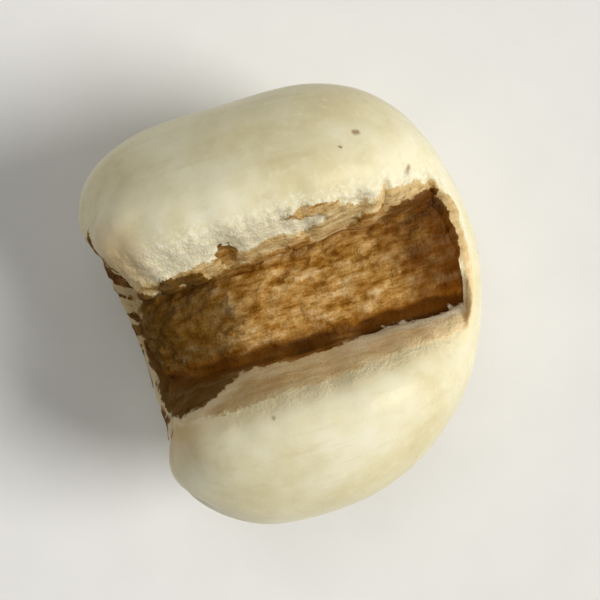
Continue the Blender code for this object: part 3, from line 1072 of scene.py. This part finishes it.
        # Painted shade over dark bran along the crevices
        crevice_and_shade = self.jagged(self.mask("dark_crevice_and_shade"), CREVICE_SHADE_JAG)
        crevice_and_shade = self.math("MULTIPLY", crevice_and_shade, self.ramp(self.y, *CREVICE_SHADE_Y))
        lining = self.mix(self.ramp(crevice_and_shade, *CREVICE_SHADE_RAMP), lining, CREVICE_BRAN_AND_SHADE)
        lining = self.mix(self.ramp(crevice_and_shade, *CREVICE_CORE_SHADE_RAMP), lining, CREVICE_CORE_SHADE)
        colour = self.mix(self.ramp(self.brown, *BROWN_RAMP), colour, lining)

        pit = self.math("MULTIPLY", self.mask("pit"), PIT_TINT)
        colour = self.mix(pit, colour, self.colours(husk, PIT))
        ring = self.ramp(self.jagged(self.mask("ring"), RING_JAG), *RING_RAMP)
        colour = self.mix(ring, colour, self.mix(self.fine, *RING_TINTS))
        # Painted shade: the pit's hole turns near-black
        hole_shade = self.ramp(self.jagged(self.mask("hole_shade"), HOLE_SHADE_JAG), *HOLE_SHADE_RAMP)
        return self.mix(hole_shade, colour, HOLE_SHADE)

    def finish(self):
        """Roughness, the finest bumps and the light that goes into the starch."""
        rugged = self.ramp(self.depth, *RUGGED_RAMP)
        dull = self.math("MAXIMUM", rugged, self.math("MAXIMUM", self.bran, self.slit))
        rough = self.blend(dull, self.ramp(self.fine, *SHEEN_RAMP), 1.0)
        self.feed(self.shader.inputs["Roughness"], rough)
        height = self.swing(self.fine, self.blend(rugged, *FINE_BUMP))
        grit = self.swing(self.noise(*TINY), self.blend(rugged, *TINY_BUMP))
        height = self.math("ADD", height, grit)
        height = self.math("ADD", height, self.swing(self.fibre, FIBRE_BUMP))
        bump = self.add("ShaderNodeBump", {"Height": height, "Distance": MM, "Strength": 1.0})
        self.feed(self.shader.inputs["Normal"], bump.outputs[0])
        self.shader.inputs["Subsurface Weight"].default_value = SCATTER
        self.shader.inputs["Subsurface Radius"].default_value = SCATTER_RADIUS
        self.shader.inputs["Subsurface Scale"].default_value = SCATTER_SCALE
        self.shader.inputs["Specular IOR Level"].default_value = SPECULAR
        self.shader.inputs["Specular Tint"].default_value = SPECULAR_TINT


# Stage, light and camera
FLOOR_HALF = 4.0
FLOOR_TONES = ((0.3, (0.80, 0.80, 0.79, 1.0)), (0.7, (0.83, 0.83, 0.82, 1.0)))
FLOOR_ROUGHNESS = 0.85
ROLL = math.radians(17.0)  # how far the groove rises to the right in the picture
CAMERA_HEIGHT = math.radians(88.0)  # above the floor, from the picture's upper edge
LENS = 100.0
SENSOR = 36.0
FRAME_SPAN = 9.0 * MM
CLIP = (0.001, 10.0)
MIDDLE = Vector((0.0, 0.0, THICKNESS / 2))  # what the camera and the lamps look at

picture_right = Vector((math.sin(ROLL), math.cos(ROLL), 0.0))
picture_up = Vector((-math.cos(ROLL), math.sin(ROLL), 0.0))

# Lamps: name, direction as shares of right, up and Z, distance, size, energy, colour
LAMPS = (
    ("key", (1.15, -0.12, 1.08), 1.2, 0.6, 13.0, (1.0, 0.98, 0.945)),
    ("fill", (-0.1, 0.35, 1.2), 1.6, 0.8, 4.0, (1.0, 0.98, 0.94)),
)
ROOM = (1.0, 0.98, 0.93, 1.0)
ROOM_STRENGTH = 0.21


def stage():
    """The pale floor."""
    mesh = bpy.data.meshes.new("floor")
    corners = ((-1.0, -1.0, 0.0), (1.0, -1.0, 0.0), (1.0, 1.0, 0.0), (-1.0, 1.0, 0.0))
    mesh.from_pydata([Vector(corner) * FLOOR_HALF for corner in corners], [], [(0, 1, 2, 3)])
    floor = bpy.data.objects.new("floor", mesh)
    bpy.context.scene.collection.objects.link(floor)
    n = Nodes("floor_paper")
    n.feed(n.shader.inputs["Base Color"], n.colours(n.noise(*PAPER), FLOOR_TONES))
    n.shader.inputs["Roughness"].default_value = FLOOR_ROUGHNESS
    floor.data.materials.append(n.material)


def lights():
    for name, (right, up, high), distance, size, energy, colour in LAMPS:
        light = bpy.data.lights.new(name, "AREA")
        light.shape = "DISK"
        light.size = size
        light.energy = energy
        light.color = colour
        lamp = bpy.data.objects.new(name, light)
        towards = (picture_right * right + picture_up * up + Vector((0.0, 0.0, high))).normalized()
        lamp.location = MIDDLE + towards * distance
        lamp.rotation_euler = (-towards).to_track_quat("-Z", "Y").to_euler()
        bpy.context.scene.collection.objects.link(lamp)
    world = bpy.data.worlds.new("room")
    bpy.context.scene.world = world
    world.use_nodes = True
    back = world.node_tree.nodes["Background"]
    back.inputs["Color"].default_value = ROOM
    back.inputs["Strength"].default_value = ROOM_STRENGTH
    bpy.context.scene.view_settings.view_transform = "Standard"


def camera():
    eye = bpy.data.cameras.new("camera")
    eye.lens = LENS
    eye.sensor_width = SENSOR
    eye.clip_start, eye.clip_end = CLIP
    holder = bpy.data.objects.new("camera", eye)
    back = Vector((0.0, 0.0, math.sin(CAMERA_HEIGHT))) + picture_up * math.cos(CAMERA_HEIGHT)
    up = (picture_up - back * picture_up.dot(back)).normalized()
    turn = Matrix((up.cross(back), up, back)).transposed().to_4x4()
    distance = FRAME_SPAN / SENSOR * LENS
    holder.matrix_world = Matrix.Translation(MIDDLE + back * distance) @ turn
    bpy.context.scene.collection.objects.link(holder)
    bpy.context.scene.camera = holder


kernel = kernel_object()
kernel.data.materials.append(Skin().material)
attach(kernel, "root")
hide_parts("seed")
stage()
lights()
camera()
